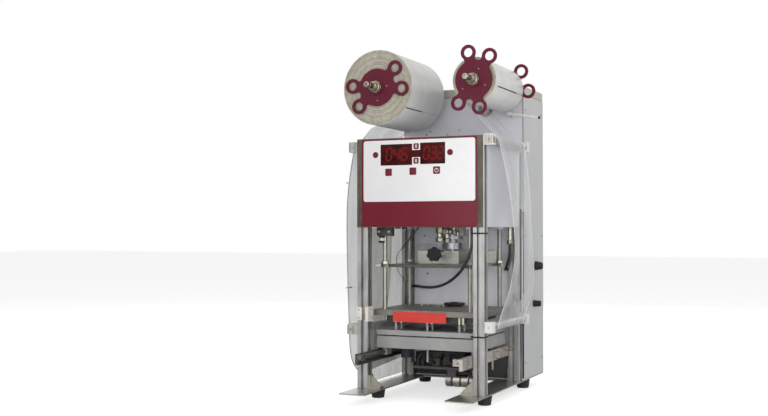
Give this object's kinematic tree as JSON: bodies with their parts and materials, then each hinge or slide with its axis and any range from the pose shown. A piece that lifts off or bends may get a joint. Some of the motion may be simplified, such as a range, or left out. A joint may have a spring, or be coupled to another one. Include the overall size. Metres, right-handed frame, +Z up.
{
  "type": "bench cup sealing machine",
  "caption": "Bench machine with a slotted-profile frame, film reels, a press head over a sliding mould, a control panel box and a rear cabinet.",
  "frame": {"origin": "on the bench top, under the middle of the machine's outline", "axes": "+X to the machine's right seen from the front, +Y to the rear, +Z up"},
  "size_m": [0.4878, 0.6298, 0.946],
  "materials": {
    "stainless_sheet": "brushed stainless sheet",
    "rubber": "black moulded rubber",
    "slotted_aluminium": "clear anodised extrusion",
    "milled_aluminium": "milled and lightly polished",
    "panel_steel": "dark brown-grey satin paint",
    "overlay_plastic": "burgundy printed overlay with a white field",
    "pale_paint": "pale lilac-grey powder coat",
    "grey_paint": "light grey powder coat",
    "beige_paint": "warm grey powder coat",
    "black_plastic": "black moulded plastic",
    "white_plastic": "white plastic rod with a black end",
    "wound_film": "layers of wound film",
    "burgundy_plastic": "burgundy plastic",
    "polished_steel": "ground and polished",
    "clear_film": "thin translucent film",
    "dark_metal": "dark oxidised metal",
    "red_plate": "plain red strip"
  },
  "bodies": {
    "root": {"base_plate": "stainless_sheet", "foot_front_left": "rubber", "foot_front_right": "rubber", "foot_rear_left": "rubber", "foot_rear_right": "rubber", "post_front_left": "slotted_aluminium", "post_front_right": "slotted_aluminium", "post_rear_left": "slotted_aluminium", "post_rear_right": "slotted_aluminium", "control_panel_box": "panel_steel", "panel_overlay": "overlay_plastic", "housing_cover": "pale_paint", "housing_floor": "pale_paint", "cabinet_front": "pale_paint", "cabinet_body": "grey_paint", "cabinet_cap": "beige_paint", "side_knob_upper": "black_plastic", "side_knob_lower": "black_plastic", "film_guard_rod": "white_plastic", "film_web_supply": "clear_film", "film_web_takeup": "clear_film", "drawer_rail_left": "milled_aluminium", "drawer_rail_right": "milled_aluminium", "drawer_rod_left": "polished_steel", "drawer_rod_right": "polished_steel", "press_cylinder": "dark_metal", "drive_platform": "dark_metal", "drive_cylinder": "polished_steel", "hose_front": "black_plastic", "hose_right": "black_plastic"},
    "supply_reel": {"supply_roll": "wound_film", "supply_hub_front": "burgundy_plastic", "supply_hub_rear": "burgundy_plastic", "supply_shaft": "polished_steel"},
    "takeup_reel": {"takeup_roll": "wound_film", "takeup_hub_front": "burgundy_plastic", "takeup_hub_rear": "burgundy_plastic", "takeup_shaft": "polished_steel"},
    "roller_upper_left": {"guide_roller_upper_left": "milled_aluminium"},
    "roller_upper_right": {"guide_roller_upper_right": "milled_aluminium"},
    "roller_lower_left": {"guide_roller_lower_left": "milled_aluminium"},
    "roller_lower_right": {"guide_roller_lower_right": "milled_aluminium"},
    "mould_drawer": {"mould_base": "milled_aluminium", "mould_top": "milled_aluminium", "mould_bumper": "rubber"},
    "press_head": {"seal_head": "dark_metal", "red_strip": "red_plate", "crosshead": "milled_aluminium", "press_rod": "polished_steel"},
    "star_grip": {"star_knob": "black_plastic"}
  },
  "joints": [
    {"name": "supply_spin", "type": "hinge", "parent": "root", "child": "supply_reel", "pos_m": [-0.14186, -0.17485, 0.844], "axis": [0, 1, 0], "continuous": true},
    {"name": "takeup_spin", "type": "hinge", "parent": "root", "child": "takeup_reel", "pos_m": [0.13614, -0.17485, 0.849], "axis": [0, 1, 0], "continuous": true},
    {"name": "upper_left_spin", "type": "hinge", "parent": "root", "child": "roller_upper_left", "pos_m": [-0.20086, -0.04865, 0.681], "axis": [0, 1, 0], "continuous": true},
    {"name": "upper_right_spin", "type": "hinge", "parent": "root", "child": "roller_upper_right", "pos_m": [0.18814, -0.04865, 0.69], "axis": [0, 1, 0], "continuous": true},
    {"name": "lower_left_spin", "type": "hinge", "parent": "root", "child": "roller_lower_left", "pos_m": [-0.20586, -0.04865, 0.19], "axis": [0, 1, 0], "continuous": true},
    {"name": "lower_right_spin", "type": "hinge", "parent": "root", "child": "roller_lower_right", "pos_m": [0.18614, -0.04865, 0.209], "axis": [0, 1, 0], "continuous": true},
    {"name": "drawer_slide", "type": "slide", "parent": "root", "child": "mould_drawer", "axis": [0, -1, 0], "range_m": [0, 0.12]},
    {"name": "head_press", "type": "slide", "parent": "root", "child": "press_head", "axis": [0, 0, -1], "range_m": [0, 0.015]},
    {"name": "star_turn", "type": "hinge", "parent": "press_head", "child": "star_grip", "pos_m": [-0.00486, -0.10485, 0.3918], "axis": [0, 1, 0], "continuous": true}
  ]
}
